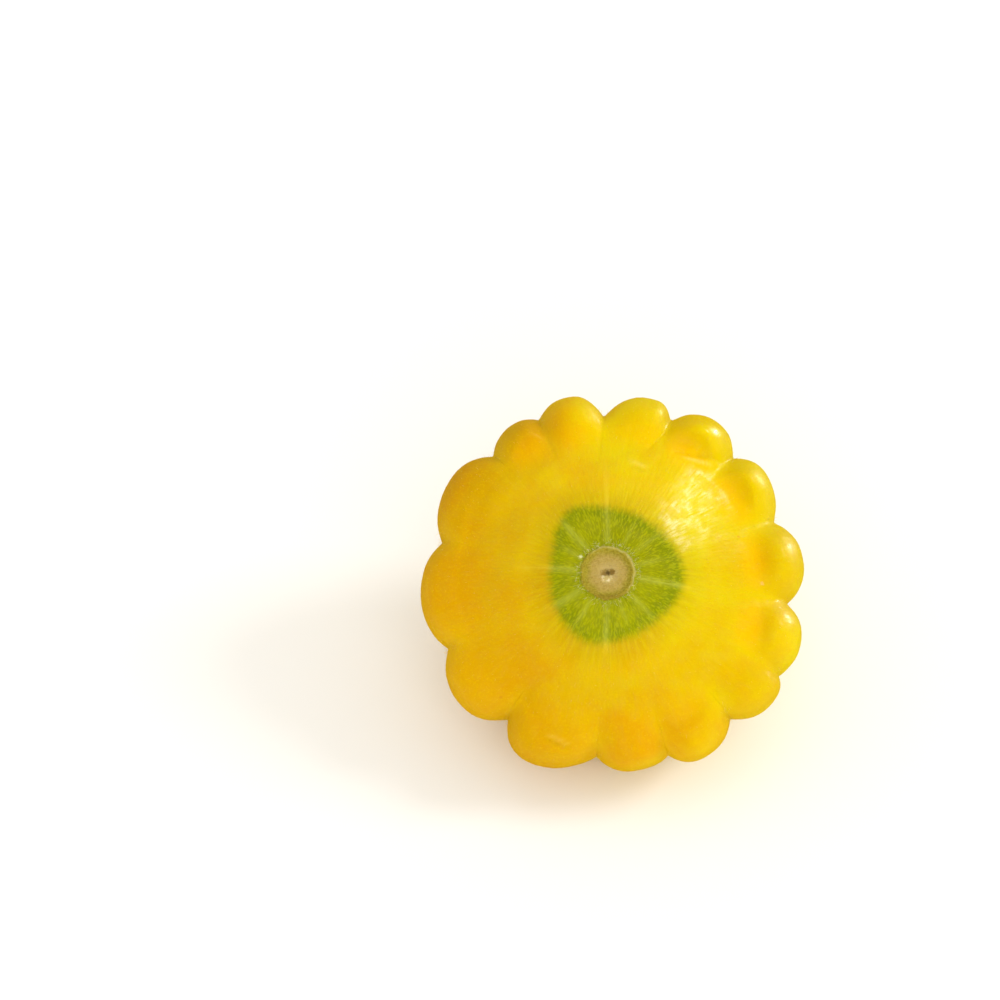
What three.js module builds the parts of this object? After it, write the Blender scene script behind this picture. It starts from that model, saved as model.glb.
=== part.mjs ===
import * as THREE from "three";

const { degToRad, euclideanModulo, lerp, smoothstep } = THREE.MathUtils;
const FULL_TURN = 360;

// A pattypan squash, picked with a short stub of stem left on it.
// Millimetres, +Z up. Both pieces are drawn about the fruit's own axis with the
// blossom end upward, then leaned toward -Y until two lobes of the rim and the
// stem stub carry the fruit on the floor at z = 0.

// ---- fruit ----

// Lobes round the rim, counted from +X toward +Y, angles in degrees and reaches
// in mm from the axis. Each row is one lobe: the angle, reach and blossom-side
// depth of the groove it starts from, the angle and reach of its crest, where
// its knuckle rises from the dome and how strongly, and how many mm its belly
// swells on the stem side.
const LOBES = [
  [-6.2, 41.2, 0.9, 5.5, 44.8, 34, 1.4, 0],
  [20.4, 40.8, 0.8, 35, 44, 35.6, 1.5, -0.2],
  [45.2, 41.1, 1, 57, 44.8, 36, 1.8, 0],
  [69, 41.2, 0.9, 75, 43.8, 33, 0.9, -0.2],
  [91.5, 39, 0.7, 103.5, 44.1, 33.2, 0.8, 0.2],
  [112.8, 41.6, 1, 120, 42.9, 34.8, 1.2, -0.4],
  [132.2, 39.9, 0.6, 147, 43.5, 34, 0.3, 0],
  [166.2, 39.2, 0.45, 184, 43.1, 34, 0.2, 0.2],
  [202, 39.5, 0.45, 218, 43.5, 34, 0.3, -0.2],
  [233.5, 38.6, 0.6, 245.5, 44.7, 35.6, 0.45, 0.6],
  [266.2, 39.2, 0.7, 279.5, 43.2, 33.8, 0.45, 0],
  [289.2, 41.4, 0.8, 299, 45.3, 34.8, 0.45, -0.3],
  [312, 41.3, 0.6, 326, 46.2, 34.8, 0.45, 0],
  [331.6, 44.1, 0.6, 340.5, 46, 34.2, 1.1, -0.2],
];

// Matching outlines from the stem, out over the rim and in to the blossom scar,
// as [radius, height]: one along the crest of an average lobe, one along the
// groove between two lobes. The scar is a raised ring round a shallow dish.
const CREST_OUTLINE = [
  [0, -31.2], [10.8, -31.2], [11.5, -31.1], [18.5, -29], [27, -25.4], [34.6, -20.4],
  [40.2, -14], [43.2, -7.6], [44, -2], [43.2, 2.7], [41, 5.8], [37.8, 7], [34.4, 6.7],
  [31.2, 7.4], [27, 9.4], [21, 12.8], [15, 15.5], [10, 16.9], [6.7, 17.3], [5.6, 17.7],
  [4.6, 17.2], [2.2, 17.1], [0, 16.5],
];
const GROOVE_OUTLINE = [
  [0, -31.2], [10.8, -31.2], [11.5, -31.1], [18.4, -28.95], [26.6, -25.15], [33.7, -20],
  [38.3, -14], [40.5, -8.6], [41, -4.2], [40.4, -0.6], [38.8, 2.4], [36.5, 4.5], [33.8, 6],
  [31, 7.3], [27, 9.4], [21, 12.8], [15, 15.5], [10, 16.9], [6.7, 17.3], [5.6, 17.7],
  [4.6, 17.2], [2.2, 17.1], [0, 16.5],
];
const CREST_REACH = 44;
const GROOVE_REACH = 41;

// The lobes change the reach of the outline only outside FADE_START and fully
// from FADE_END outward, so the dome and the stem end stay round.
const FADE_START = 18;
const FADE_END = 36;

// The blossom side takes over from the stem side between these crest heights.
const BLOSSOM_START = -6;
const BLOSSOM_END = 3;

// Extra height of a strong knuckle: a hump near the rim, with a dip behind it.
const HUMP = { radius: 39, width: 3.4, rise: 1.7 };
const SADDLE = { radius: 32.6, width: 2.8, rise: -0.7 };
const PLAIN_KNUCKLE = 0.8;

// Where the foot of a plain knuckle lies, and how wide a band moves with it.
const FOOT = { radius: 34, width: 4.5 };

// Where the belly of a lobe lies on the stem side.
const BELLY = { radius: 33, width: 7 };

// A lobe is blunt across. Its flanks fall steeply into the groove at the rim and
// softly where the groove runs out on the dome and toward the stem.
const BLUNTNESS = 2.05;
const RIM_FLANK = 0.75;
const INNER_FLANK = 1.5;
const FLANK_START = 36;
const FLANK_END = 46;

const LOBE_STEPS = 8;
const OUTLINE_STEPS = 2;

// ---- stem stub ----

// Ridges round the stub as [angle, size against the outline below].
const STEM_RIDGES = [
  [30, 1], [82, 0.86], [136, 1.04], [189, 0.92], [240, 1.05], [295, 1.05], [342, 0.9],
];
// Outlines along a ridge and along a hollow between ridges, as [radius, distance
// below the fruit], from the middle of the dished cut face to that of the seat.
const RIDGE_OUTLINE = [
  [0, 5.6], [4.4, 6.6], [7.3, 7], [7.9, 6], [7.7, 4.2], [8.6, 2.3], [10.4, 0.9], [10.6, 0],
  [0, 0],
];
const HOLLOW_OUTLINE = [
  [0, 5.6], [3, 6.2], [4.7, 6.5], [5.2, 5.9], [5.6, 4.2], [6.5, 2.3], [8, 0.9], [8.2, 0],
  [0, 0],
];
// A ridge falls away to nothing this many degrees to each side.
const RIDGE_SPREAD = 26;
const STEM_COLUMNS = 60;
const STEM_OUTLINE_STEPS = 2;
const SEAT_GAP = 0.3;
const FRUIT_UNDERSIDE = -31.2;

// ---- resting pose ----

// Lean of the axis and turn about it that bring two lobes and the stem down together.
const LEAN = degToRad(33.66);
const TURN = degToRad(3.1);

// Skin this close to the floor is pressed flat by the weight of the fruit.
const PRESSED = 0.3;

// Points of a smooth curve through an outline, `steps` to each of its spans.
function smoothOutline(outline, steps) {
  const points = outline.map(([radius, height]) => new THREE.Vector2(radius, height));
  return new THREE.SplineCurve(points).getPoints((outline.length - 1) * steps);
}

// A soft hump of the given rise, centred on a radius.
function hump({ radius, width, rise }, at) {
  return rise * Math.exp(-(((at - radius) / width) ** 2));
}

// One column of the fruit per facet edge: its angle, how far across its lobe it
// stands (-1 and 1 in the grooves, 0 on the crest) and the measures of its lobe.
function fruitColumns() {
  const columns = [];
  LOBES.forEach((lobe, index) => {
    const [grooveAngle, grooveReach, grooveDepth, crestAngle, crestReach, foot, knuckle, belly] = lobe;
    const [nextStart, nextReach, nextDepth] = LOBES[(index + 1) % LOBES.length];
    const nextAngle = nextStart + (index === LOBES.length - 1 ? FULL_TURN : 0);
    for (let step = 0; step < LOBE_STEPS; step += 1) {
      const across = -Math.cos((Math.PI * step) / LOBE_STEPS);
      const side = across < 0 ? crestAngle - grooveAngle : nextAngle - crestAngle;
      const angle = crestAngle + across * side;
      columns.push({
        angle: degToRad(angle),
        across: Math.abs(across),
        grooveReach: lerp(grooveReach, nextReach, smoothstep(angle, grooveAngle, nextAngle)),
        grooveDepth: across < 0 ? grooveDepth : nextDepth,
        crestReach,
        foot,
        knuckle: knuckle - PLAIN_KNUCKLE,
        belly,
      });
    }
  });
  return columns;
}

// Places one point of the fruit from the two outlines and its column.
function fruitPoint(crest, groove, column) {
  const blossom = smoothstep(crest.y, BLOSSOM_START, BLOSSOM_END);
  const flank = lerp(INNER_FLANK, RIM_FLANK, smoothstep(crest.x, FLANK_START, FLANK_END));
  const swell = (1 - column.across ** BLUNTNESS) ** flank;

  const fade = smoothstep(groove.x, FADE_START, FADE_END);
  const stretch = lerp(1, column.grooveReach / GROOVE_REACH, fade);
  const depth = (column.crestReach - column.grooveReach) / (CREST_REACH - GROOVE_REACH);
  const creep = blossom * hump({ ...FOOT, rise: column.foot - FOOT.radius }, crest.x);
  const radius = groove.x * stretch + ((crest.x - groove.x) * depth + creep) * swell;

  const relief = (crest.y - groove.y) * Math.sqrt(depth);
  const knuckle = blossom * column.knuckle * (hump(HUMP, crest.x) + hump(SADDLE, crest.x));
  const belly = (1 - blossom) * hump({ ...BELLY, rise: column.belly }, crest.x);
  const crestHeight = groove.y + relief + knuckle - belly;
  const grooveHeight = groove.y + relief * blossom * (1 - column.grooveDepth);
  const height = lerp(grooveHeight, crestHeight, swell);
  return new THREE.Vector3(radius * Math.cos(column.angle), radius * Math.sin(column.angle), height);
}

// Turns an outline into a closed skin, then moves each vertex to the place its
// column and row ask for. The last column repeats the first one.
function latheSkin(outline, columnCount, place) {
  const skin = new THREE.LatheGeometry(outline, columnCount);
  const position = skin.getAttribute("position");
  for (let index = 0; index < position.count; index += 1) {
    const column = Math.floor(index / outline.length) % columnCount;
    const point = place(index % outline.length, column);
    position.setXYZ(index, point.x, point.y, point.z);
  }
  skin.computeVertexNormals();
  return skin;
}

function fruitGeometry() {
  const crest = smoothOutline(CREST_OUTLINE, OUTLINE_STEPS);
  const groove = smoothOutline(GROOVE_OUTLINE, OUTLINE_STEPS);
  const columns = fruitColumns();
  const place = (row, column) => fruitPoint(crest[row], groove[row], columns[column]);
  return latheSkin(crest, columns.length, place);
}

// How far the stub's skin rises from hollow (0) to ridge (1) at an angle.
function stemRidge(angle) {
  let tallest = 0;
  for (const [ridgeAngle, size] of STEM_RIDGES) {
    const away = euclideanModulo(angle - ridgeAngle + FULL_TURN / 2, FULL_TURN) - FULL_TURN / 2;
    tallest = Math.max(tallest, size * (1 - Math.abs(away) / RIDGE_SPREAD));
  }
  return Math.max(tallest, 0);
}

function stemGeometry() {
  const ridge = smoothOutline(RIDGE_OUTLINE, STEM_OUTLINE_STEPS);
  const hollow = smoothOutline(HOLLOW_OUTLINE, STEM_OUTLINE_STEPS);
  return latheSkin(ridge, STEM_COLUMNS, (row, column) => {
    const degrees = (column * FULL_TURN) / STEM_COLUMNS;
    const share = stemRidge(degrees);
    const radius = lerp(hollow[row].x, ridge[row].x, share);
    const drop = lerp(hollow[row].y, ridge[row].y, share);
    const height = FRUIT_UNDERSIDE - SEAT_GAP - drop;
    const angle = degToRad(degrees);
    return new THREE.Vector3(radius * Math.cos(angle), radius * Math.sin(angle), height);
  });
}

function makePiece(name, geometry, material) {
  const piece = new THREE.Mesh(geometry, new THREE.MeshStandardMaterial(material));
  piece.name = name;
  return piece;
}

// Presses flat the lowest skin of all the pieces, where `up` points off the floor.
function pressFlat(pieces, up) {
  const positions = pieces.map((piece) => piece.geometry.getAttribute("position"));
  const vertex = new THREE.Vector3();
  let lowest = Infinity;
  for (const position of positions) {
    for (let index = 0; index < position.count; index += 1) {
      lowest = Math.min(lowest, vertex.fromBufferAttribute(position, index).dot(up));
    }
  }
  for (const position of positions) {
    for (let index = 0; index < position.count; index += 1) {
      vertex.fromBufferAttribute(position, index);
      vertex.addScaledVector(up, Math.max(lowest + PRESSED - vertex.dot(up), 0));
      position.setXYZ(index, vertex.x, vertex.y, vertex.z);
    }
  }
}

// The pieces lean as one, then their lowest point comes to the floor and the
// middle of their footprint to the origin.
const fruit = makePiece("fruit", fruitGeometry(), { color: 0xf0b90a, roughness: 0.42, metalness: 0 });
const stem = makePiece("stem", stemGeometry(), { color: 0x8b9a2b, roughness: 0.75, metalness: 0 });
const leaning = new THREE.Group();
leaning.add(fruit, stem);
leaning.rotation.set(LEAN, 0, TURN);
pressFlat([fruit, stem], new THREE.Vector3(0, 0, 1).applyQuaternion(leaning.quaternion.clone().invert()));
const box = new THREE.Box3().setFromObject(leaning, true);
const middle = box.getCenter(new THREE.Vector3());
leaning.position.set(-middle.x, -middle.y, -box.min.z);

const squash = new THREE.Group();
squash.name = "pattypan_squash";
squash.add(leaning);

export default squash;
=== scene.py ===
# %% [markdown]
# # A pattypan squash
# A pattypan is a summer squash grown flat and scalloped. This one is a young yellow fruit, 87 mm across,
# picked with a short stub of stem and lying tipped on two of its lobes and that stub, so that its blossom
# end shows. Blender works in metres, but a grower's ruler is in millimetres, so every shape is drawn in
# millimetres, about the fruit's own axis with the blossom end upward, and scaled once at the end.

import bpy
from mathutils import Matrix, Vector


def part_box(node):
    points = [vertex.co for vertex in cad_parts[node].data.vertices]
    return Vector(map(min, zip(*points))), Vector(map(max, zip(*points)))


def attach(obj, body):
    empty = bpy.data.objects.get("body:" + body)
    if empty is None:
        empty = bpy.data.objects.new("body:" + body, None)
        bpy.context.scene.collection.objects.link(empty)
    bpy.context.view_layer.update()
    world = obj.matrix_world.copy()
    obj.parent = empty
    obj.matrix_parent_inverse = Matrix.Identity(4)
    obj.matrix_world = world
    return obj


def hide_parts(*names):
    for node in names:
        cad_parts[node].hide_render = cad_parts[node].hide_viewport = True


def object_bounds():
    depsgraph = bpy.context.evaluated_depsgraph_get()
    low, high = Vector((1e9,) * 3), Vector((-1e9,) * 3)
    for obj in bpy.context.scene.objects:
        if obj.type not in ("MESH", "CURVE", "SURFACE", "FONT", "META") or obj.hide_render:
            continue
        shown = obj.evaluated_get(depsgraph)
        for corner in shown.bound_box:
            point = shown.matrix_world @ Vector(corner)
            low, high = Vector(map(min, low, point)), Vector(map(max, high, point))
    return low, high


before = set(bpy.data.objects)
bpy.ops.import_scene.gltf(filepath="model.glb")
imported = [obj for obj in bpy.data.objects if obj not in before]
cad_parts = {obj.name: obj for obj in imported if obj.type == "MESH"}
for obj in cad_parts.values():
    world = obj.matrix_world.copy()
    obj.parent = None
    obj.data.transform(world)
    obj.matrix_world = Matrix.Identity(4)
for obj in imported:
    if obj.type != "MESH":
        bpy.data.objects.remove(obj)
cad_low, cad_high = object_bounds()
print("box of the model, mm:", [round(1000 * (high - low), 1) for low, high in zip(cad_low, cad_high)])

# %% Tools used all the way through
import math

import bpy
import numpy as np
from mathutils import Matrix, Vector

MM = 0.001
FULL_TURN = 360
rng = np.random.default_rng(14)

# %% [markdown]
# ## The outline of the fruit
# Every lobe is a swelling between two grooves. The fruit could be sculpted by eye, but two outlines that
# share their points say the same thing in a form that can be measured: one runs down the middle of a lobe,
# the other down the groove beside it. Both go from the stem, out over the rim and in to the blossom scar.

# %% Two outlines, as radius and height
CREST_OUTLINE = [
    (0, -31.2), (8.5, -31.25), (13, -30.75), (18.5, -29), (27, -25.4), (34.6, -20.4),
    (40.2, -14), (43.2, -7.6), (44, -2), (43.2, 2.7), (41, 5.8), (37.8, 7), (34.4, 6.7),
    (31.2, 7.4), (27, 9.4), (21, 12.8), (15, 15.5), (10, 16.9), (6.7, 17.3), (5.6, 17.7),
    (4.6, 17.2), (2.2, 17.1), (0, 16.5),
]
GROOVE_OUTLINE = [
    (0, -31.2), (8.5, -31.25), (13, -30.75), (18.4, -28.95), (26.6, -25.15), (33.7, -20),
    (38.3, -14), (40.5, -8.6), (41, -4.2), (40.4, -0.6), (38.8, 2.4), (36.5, 4.5), (33.8, 6),
    (31, 7.3), (27, 9.4), (21, 12.8), (15, 15.5), (10, 16.9), (6.7, 17.3), (5.6, 17.7),
    (4.6, 17.2), (2.2, 17.1), (0, 16.5),
]
CREST_REACH, GROOVE_REACH = 44, 41
print("points in the two outlines:", len(CREST_OUTLINE), len(GROOVE_OUTLINE))

# %% [markdown]
# ## The lobes, one by one
# No two lobes of a grown fruit are alike: some are broad and run smoothly into the dome, others stand up as
# knuckles with a dip behind them. A modifier that repeats one lobe would look like a pastry mould, so each
# lobe has its own row, counted from +X toward +Y, with angles in degrees and reaches in millimetres.

# %% A row for each lobe
# groove angle, reach and depth; crest angle and reach; knuckle foot and strength; belly
LOBES = [
    (-6.2, 41.2, 0.9, 5.5, 44.8, 34, 1.4, 0),
    (20.4, 40.8, 0.8, 35.0, 44.0, 35.6, 1.5, -0.2),
    (45.2, 41.1, 1.0, 57.0, 44.8, 36, 1.8, 0),
    (69.0, 41.2, 0.9, 75.0, 43.8, 33, 0.9, -0.2),
    (91.5, 39.0, 0.7, 103.5, 44.1, 33.2, 0.8, 0.2),
    (112.8, 41.6, 1.0, 120.0, 42.9, 34.8, 1.2, -0.4),
    (132.2, 39.9, 0.6, 147.0, 43.5, 34, 0.3, 0),
    (166.2, 39.2, 0.45, 184.0, 43.1, 34, 0.2, 0.2),
    (202.0, 39.5, 0.45, 218.0, 43.5, 34, 0.3, -0.2),
    (233.5, 38.6, 0.6, 245.5, 44.7, 35.6, 0.45, 0.6),
    (266.2, 39.2, 0.7, 279.5, 43.2, 33.8, 0.45, 0),
    (289.2, 41.4, 0.8, 299.0, 45.3, 34.8, 0.45, -0.3),
    (312.0, 41.3, 0.6, 326.0, 46.2, 34.8, 0.45, 0),
    (331.6, 44.1, 0.6, 340.5, 46.0, 34.2, 1.1, -0.2),
]
LOBE_STEPS = 24
PLAIN_KNUCKLE = 0.8
print("lobes:", len(LOBES), "columns round the fruit:", len(LOBES) * LOBE_STEPS)

# %% [markdown]
# ## A grid over the whole fruit
# The skin could start as a sphere pulled about with modifiers. A grid of rows and columns is easier to steer:
# each column knows its lobe and how far it is from the groove, each row knows how far it is from stem to
# scar, and every later mark on the skin is worked out from those two.

# %% Soft steps, humps and curves
def smoothstep(start, end, value):
    share = np.clip((value - start) / (end - start), 0, 1)
    return share * share * (3 - 2 * share)


def hump(centre, width, value):
    return np.exp(-(((value - centre) / width) ** 2))


def smooth_outline(outline, count):
    """Points of the smooth curve through an outline, spread evenly over its spans."""
    points = np.array(outline, float)
    spans = len(points) - 1
    place = np.linspace(0, spans, count)
    span = np.minimum(place.astype(int), spans - 1)
    part = (place - span)[:, None]
    before, start = points[np.maximum(span - 1, 0)], points[span]
    end, after = points[span + 1], points[np.minimum(span + 2, spans)]
    leave, arrive = (end - before) / 2, (after - start) / 2
    return (
        (2 * start - 2 * end + leave + arrive) * part**3
        + (3 * end - 3 * start - 2 * leave - arrive) * part**2
        + leave * part
        + start
    )


# %% Columns of the fruit
def fruit_columns():
    """What each column round the fruit takes from its lobe, as one array a measure."""
    columns = []
    for index, (groove_at, groove_reach, cut, crest_at, *lobe) in enumerate(LOBES):
        next_at, next_reach, next_cut = LOBES[(index + 1) % len(LOBES)][:3]
        if index == len(LOBES) - 1:
            next_at += FULL_TURN
        for step in range(LOBE_STEPS):
            across = -math.cos(math.pi * step / LOBE_STEPS)
            angle = crest_at + across * (crest_at - groove_at if across < 0 else next_at - crest_at)
            reach = groove_reach + (next_reach - groove_reach) * smoothstep(groove_at, next_at, angle)
            columns.append((math.radians(angle), abs(across), reach, cut if across < 0 else next_cut, *lobe))
    return np.array(columns).T


# %% Measures of a lobe across and along, in mm
BLOSSOM_START, BLOSSOM_END = -6, 3
FADE_START, FADE_END = 18, 36
FLANK_START, FLANK_END = 36, 46
INNER_FLANK, RIM_FLANK = 1.5, 0.75
FOOT_REACH, FOOT_WIDTH = 34, 4.5
HUMP_REACH, HUMP_WIDTH, HUMP_RISE = 39, 3.4, 1.7
SADDLE_REACH, SADDLE_WIDTH, SADDLE_DIP = 32.6, 2.8, 0.7
BELLY_REACH, BELLY_WIDTH = 33, 7
print("from the dip behind a knuckle out to its top, mm:", round(HUMP_REACH - SADDLE_REACH, 1))

# %% Rows of the fruit
ROWS = 270
BLUNTNESS = 2.2
ROUNDING = 0.15


def soft_foot(share):
    """The same share, but rounded off near 0, so that a groove has a soft bottom instead of a knife cut."""
    return (np.sqrt(share**2 + ROUNDING**2) - ROUNDING) / (math.sqrt(1 + ROUNDING**2) - ROUNDING)


def fruit_grid():
    """A grid of points, stem to scar by rows, that swells from the groove outline to the crest outline."""
    crest_r, crest_z = smooth_outline(CREST_OUTLINE, ROWS).T[:, :, None]
    groove_r, groove_z = smooth_outline(GROOVE_OUTLINE, ROWS).T[:, :, None]
    angle, across, reach, cut, crest_reach, foot, knuckle, belly = fruit_columns()

    blossom = smoothstep(BLOSSOM_START, BLOSSOM_END, crest_z)
    flank = INNER_FLANK + (RIM_FLANK - INNER_FLANK) * smoothstep(FLANK_START, FLANK_END, crest_r)
    swell = soft_foot((1 - across**BLUNTNESS) ** flank)
    stretch = 1 + smoothstep(FADE_START, FADE_END, groove_r) * (reach / GROOVE_REACH - 1)
    depth = (crest_reach - reach) / (CREST_REACH - GROOVE_REACH)
    creep = (foot - FOOT_REACH) * blossom * hump(FOOT_REACH, FOOT_WIDTH, crest_r)
    radius = groove_r * stretch + ((crest_r - groove_r) * depth + creep) * swell

    relief = (crest_z - groove_z) * np.sqrt(depth)
    bulge = HUMP_RISE * hump(HUMP_REACH, HUMP_WIDTH, crest_r)
    saddle = SADDLE_DIP * hump(SADDLE_REACH, SADDLE_WIDTH, crest_r)
    rise = (knuckle - PLAIN_KNUCKLE) * (bulge - saddle)
    sag = belly * (1 - blossom) * hump(BELLY_REACH, BELLY_WIDTH, crest_r)
    crest_height = groove_z + relief + blossom * rise - sag
    groove_height = groove_z + relief * blossom * (1 - cut)
    height = groove_height + (crest_height - groove_height) * swell
    points = np.stack([radius * np.cos(angle), radius * np.sin(angle), height], -1)
    return points, np.tile(across, (ROWS, 1))


fruit, across_lobe = fruit_grid()
print("fruit grid:", fruit.shape[:2], "tallest point, mm:", round(fruit[..., 2].max(), 2))

# %% [markdown]
# ## Lumps, creases and dents
# Close to, the skin isn't a pure curve: it wanders by a tenth of a millimetre over a few millimetres, and
# carries a few creases where it grew against itself. Sculpting brushes do this well by hand. Here a sum of
# plane waves of nearly one length gives the lumps, and each crease is a short line pressed into the skin.

# %% Wandering lumps
def wander(points, length, waves=40):
    """A soft random height from -1 to 1 or so, whose lumps are about `length` millimetres apart."""
    direction = rng.normal(size=(waves, 3))
    direction /= np.linalg.norm(direction, axis=1, keepdims=True)
    turns = 2 * math.pi / (length * rng.uniform(0.75, 1.35, waves))
    phase = rng.uniform(0, 2 * math.pi, waves)
    return np.cos(points @ (direction * turns[:, None]).T + phase).sum(-1) / math.sqrt(waves)


def outward(grid):
    """Unit directions away from the flesh at each point of a grid."""
    along = np.gradient(grid, axis=0)
    around = np.roll(grid, -1, 1) - np.roll(grid, 1, 1)
    normal = np.cross(around, along)
    size = np.linalg.norm(normal, axis=-1, keepdims=True)
    return np.divide(normal, size, out=np.zeros_like(normal), where=size > 1e-9)


# %% Creases and welts
# angle and reach of the two ends, width and depth or height, all in mm and degrees
CREASES = [
    (46.3, 37.6, 55, 34.8, 0.9, 0.5),
    (52.5, 35.4, 63, 33, 1.0, 0.45),
    (91.5, 39, 94.5, 27.5, 0.9, 0.2),
    (69, 36.5, 73, 31, 0.8, 0.25),
    (71, 25.6, 79, 26.3, 0.7, 0.24),
    (248, 38.6, 258, 39.8, 0.8, 0.5),
    (112.8, 38, 113.5, 30, 1.4, 0.14),
]
WELTS = [
    (48, 35.2, 58, 32.6, 0.7, 0.25),
    (71, 26.5, 79, 27.2, 0.9, 0.15),
    (249, 37.6, 257, 38.6, 0.9, 0.08),
]
print("creases:", len(CREASES), "welts:", len(WELTS))


# %% Short lines in the skin
def on_dome(angle, reach):
    return np.array([reach * math.cos(math.radians(angle)), reach * math.sin(math.radians(angle))])


def line_relief(grid, lines):
    """How strongly a set of short lines marks each point of the blossom side."""
    depth = np.zeros(grid.shape[:2])
    for first_angle, first_reach, last_angle, last_reach, width, deep in lines:
        start, end = on_dome(first_angle, first_reach), on_dome(last_angle, last_reach)
        line = end - start
        share = np.clip((grid[..., :2] - start) @ line / (line @ line), 0, 1)
        away = np.linalg.norm(grid[..., :2] - start - share[..., None] * line, axis=-1)
        taper = np.sin(math.pi * np.clip(share, 0.02, 0.98)) ** 0.5
        depth += deep * taper * hump(0, width / 2, away)
    return depth * smoothstep(-2, 4, grid[..., 2])


# %% Put the lumps, creases and welts on the fruit
# height of the lumps and the spacing between them, in mm
LUMPS = [(0.16, 15), (0.05, 6), (0.018, 2.6)]
lumps = sum(high * wander(fruit, spacing) for high, spacing in LUMPS)
calm_ends = smoothstep(5, 9, np.hypot(fruit[..., 0], fruit[..., 1]))
welts = line_relief(fruit, WELTS)
fruit += outward(fruit) * (lumps * calm_ends + welts - line_relief(fruit, CREASES))[..., None]
print("lumps, mm:", round(lumps.min(), 2), "to", round(lumps.max(), 2))

# %% [markdown]
# ## The stem stub
# The stalk of a pattypan has hard ridges that spread into pointed feet where they grip the fruit, and it was
# cut a few millimetres above them, so it ends in a star with a dished face. It could be a star extruded and
# tapered, but real feet flare, so it is turned like the fruit, from a ridge outline and a hollow outline.

# %% Outlines of the stub
# radius and distance below the fruit, from the middle of the cut face to that of the seat
RIDGE_OUTLINE = [
    (0, 5.6), (4.4, 6.6), (7.3, 7), (7.9, 6), (7.7, 4.2), (8.6, 2.3), (10.4, 0.9), (10.6, 0), (0, 0),
]
HOLLOW_OUTLINE = [
    (0, 5.6), (3, 6.2), (4.7, 6.5), (5.2, 5.9), (5.6, 4.2), (6.5, 2.3), (8, 0.9), (8.2, 0), (0, 0),
]
STEM_RIDGES = [(30, 1.0), (82, 0.86), (136, 1.04), (189, 0.92), (240, 1.05), (295, 1.05), (342, 0.9)]
RIDGE_SPREAD = 26
STEM_COLUMNS, STEM_ROWS = 280, 100
UNDERSIDE, SEAT_GAP = -31.2, 0.3
SEAT_SUNK = 0.4
print("ridges of the stub:", len(STEM_RIDGES))


# %% Turn the stub
def ridge_height(angle):
    """How far the skin of the stub rises from hollow to ridge at each angle, 0 to about 1."""
    tallest = np.zeros_like(angle)
    for ridge_angle, size in STEM_RIDGES:
        away = (angle - ridge_angle + FULL_TURN / 2) % FULL_TURN - FULL_TURN / 2
        tallest = np.maximum(tallest, size * (1 - (abs(away) / RIDGE_SPREAD) ** 1.5))
    return tallest


def stem_grid():
    ridge_r, ridge_drop = smooth_outline(RIDGE_OUTLINE, STEM_ROWS).T[:, :, None]
    hollow_r, hollow_drop = smooth_outline(HOLLOW_OUTLINE, STEM_ROWS).T[:, :, None]
    degrees = np.arange(STEM_COLUMNS) * FULL_TURN / STEM_COLUMNS
    share = ridge_height(degrees)
    angle = np.radians(degrees)
    radius = hollow_r + (ridge_r - hollow_r) * share
    drop = hollow_drop + (ridge_drop - hollow_drop) * share
    grip = (SEAT_GAP + SEAT_SUNK) * (1 - smoothstep(0, 1.5, drop))
    height = UNDERSIDE - SEAT_GAP - drop + grip
    points = np.stack([radius * np.cos(angle), radius * np.sin(angle), height], -1)
    return points, np.tile(share, (STEM_ROWS, 1))


stem, stem_share = stem_grid()
print("stub grid:", stem.shape[:2])

# %% Roughen the stub
FIBRE_COUNT, FIBRE_HEIGHT = 46, 0.06
below_seat = UNDERSIDE - SEAT_GAP - stem[..., 2]
rough_skin = 0.13 * wander(stem, 3.2) + 0.07 * wander(stem, 1.3)
fibres = FIBRE_HEIGHT * np.cos(np.radians(np.arange(STEM_COLUMNS) * FULL_TURN / STEM_COLUMNS) * FIBRE_COUNT)
seat_calm = smoothstep(0.1, 0.8, below_seat)
stem += outward(stem) * ((rough_skin + fibres) * seat_calm)[..., None]
print("fibres round the stub:", FIBRE_COUNT, "each", FIBRE_HEIGHT, "mm high")

# %% [markdown]
# ## From grids to skins
# A grid becomes a closed mesh when its columns are joined in a ring and its first and last rows shrink to
# a point. Each mesh also keeps, at every vertex, where that point was drawn in millimetres. The finishes read
# it, so that rings and streaks follow the fruit's own axis, however the fruit lies.

# %% The way the fruit lies
LEAN, TURN = math.radians(33.66), math.radians(3.1)
OFF_THE_TABLE = 0.01
lie = np.array(Matrix.Rotation(LEAN, 3, "X") @ Matrix.Rotation(TURN, 3, "Z"))
lying = fruit.reshape(-1, 3) @ lie.T
lowest, highest = (np.array(corner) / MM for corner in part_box("fruit"))
moved = (lowest + highest) / 2 - (lying.min(0) + lying.max(0)) / 2
moved[2] = highest[2] - lying[:, 2].max()
print("moved by, mm:", moved.round(2))


def settle(points):
    """Where drawn points come to rest, in metres, with nothing under the surface it lies on."""
    placed = points @ lie.T + moved
    placed[:, 2] = np.maximum(placed[:, 2], OFF_THE_TABLE)
    return placed * MM


# %% Make a piece from a grid
def add_piece(name, points, faces, node=None):
    """A new object of settled points that rides with the fruit and hides the named node's part, if any."""
    mesh = bpy.data.meshes.new(name)
    mesh.from_pydata(settle(points).tolist(), [], faces)
    mesh.shade_smooth()
    mark(mesh, "drawn", points)
    piece = bpy.data.objects.new(name, mesh)
    bpy.context.collection.objects.link(piece)
    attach(piece, "root")
    if node:
        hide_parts(node)
    print(name, "faces:", len(faces))
    return piece


def mark(mesh, name, values):
    """Writes a number, or three, at each vertex for a finish to read."""
    kind, field = ("FLOAT_VECTOR", "vector") if values.ndim == 2 else ("FLOAT", "value")
    mesh.attributes.new(name, kind, "POINT").data.foreach_set(field, values.ravel().astype(np.float32))


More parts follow.
